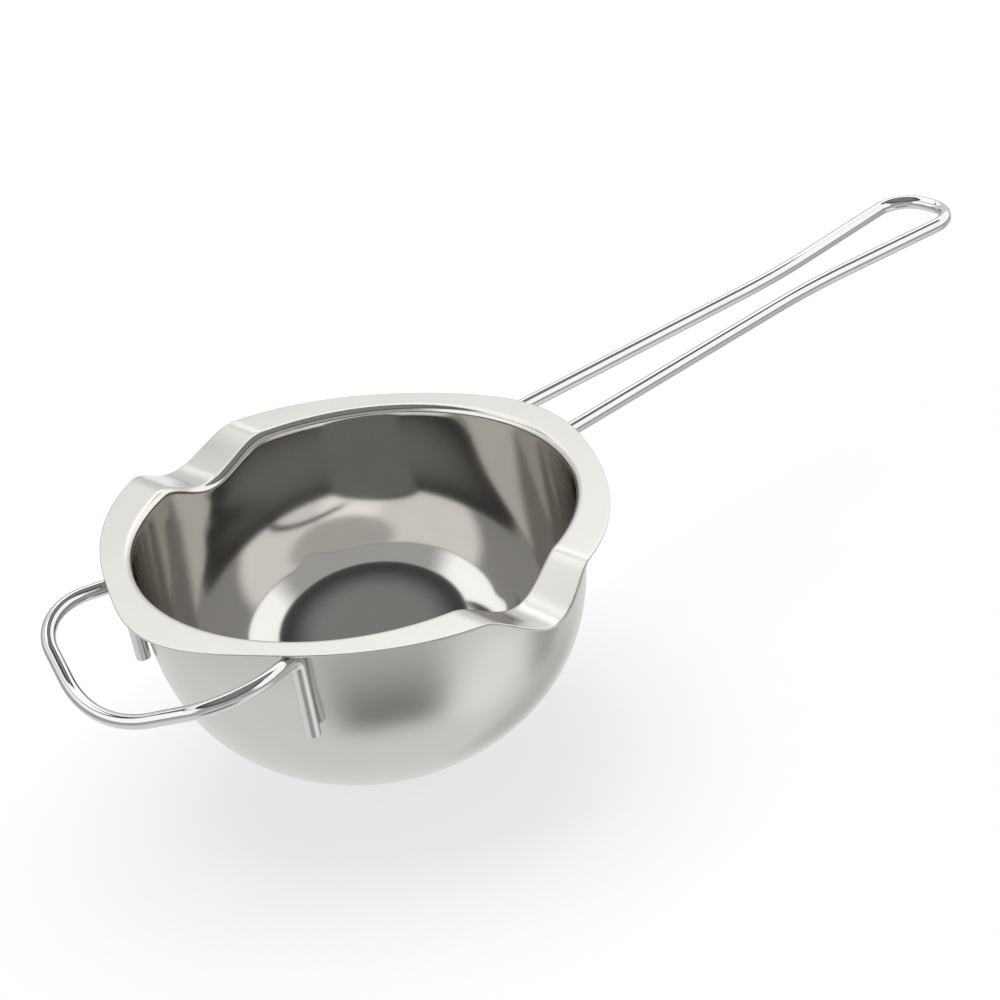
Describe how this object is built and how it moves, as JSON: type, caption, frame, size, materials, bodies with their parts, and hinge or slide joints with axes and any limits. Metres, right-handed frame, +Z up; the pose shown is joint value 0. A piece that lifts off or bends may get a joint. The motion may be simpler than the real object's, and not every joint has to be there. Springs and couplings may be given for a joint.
{
  "type": "melting pot",
  "caption": "Stainless melting pot: thin round bowl with pressed pouring spouts in its flange, a long bent-wire handle and a short bent-wire support handle opposite.",
  "frame": {"origin": "centre of the bowl's flat base, on its underside", "axes": "+Z up, +X along the long handle, -X along the support handle, spouts facing +Y and -Y"},
  "size_m": [0.338, 0.155, 0.0665],
  "materials": {
    "bowl_steel": "satin outside and on the flange, polished inside",
    "long_handle_wire": "polished",
    "support_handle_wire": "polished"
  },
  "bodies": {
    "root": {"bowl": "bowl_steel", "long_handle": "long_handle_wire", "support_handle": "support_handle_wire"}
  },
  "joints": []
}
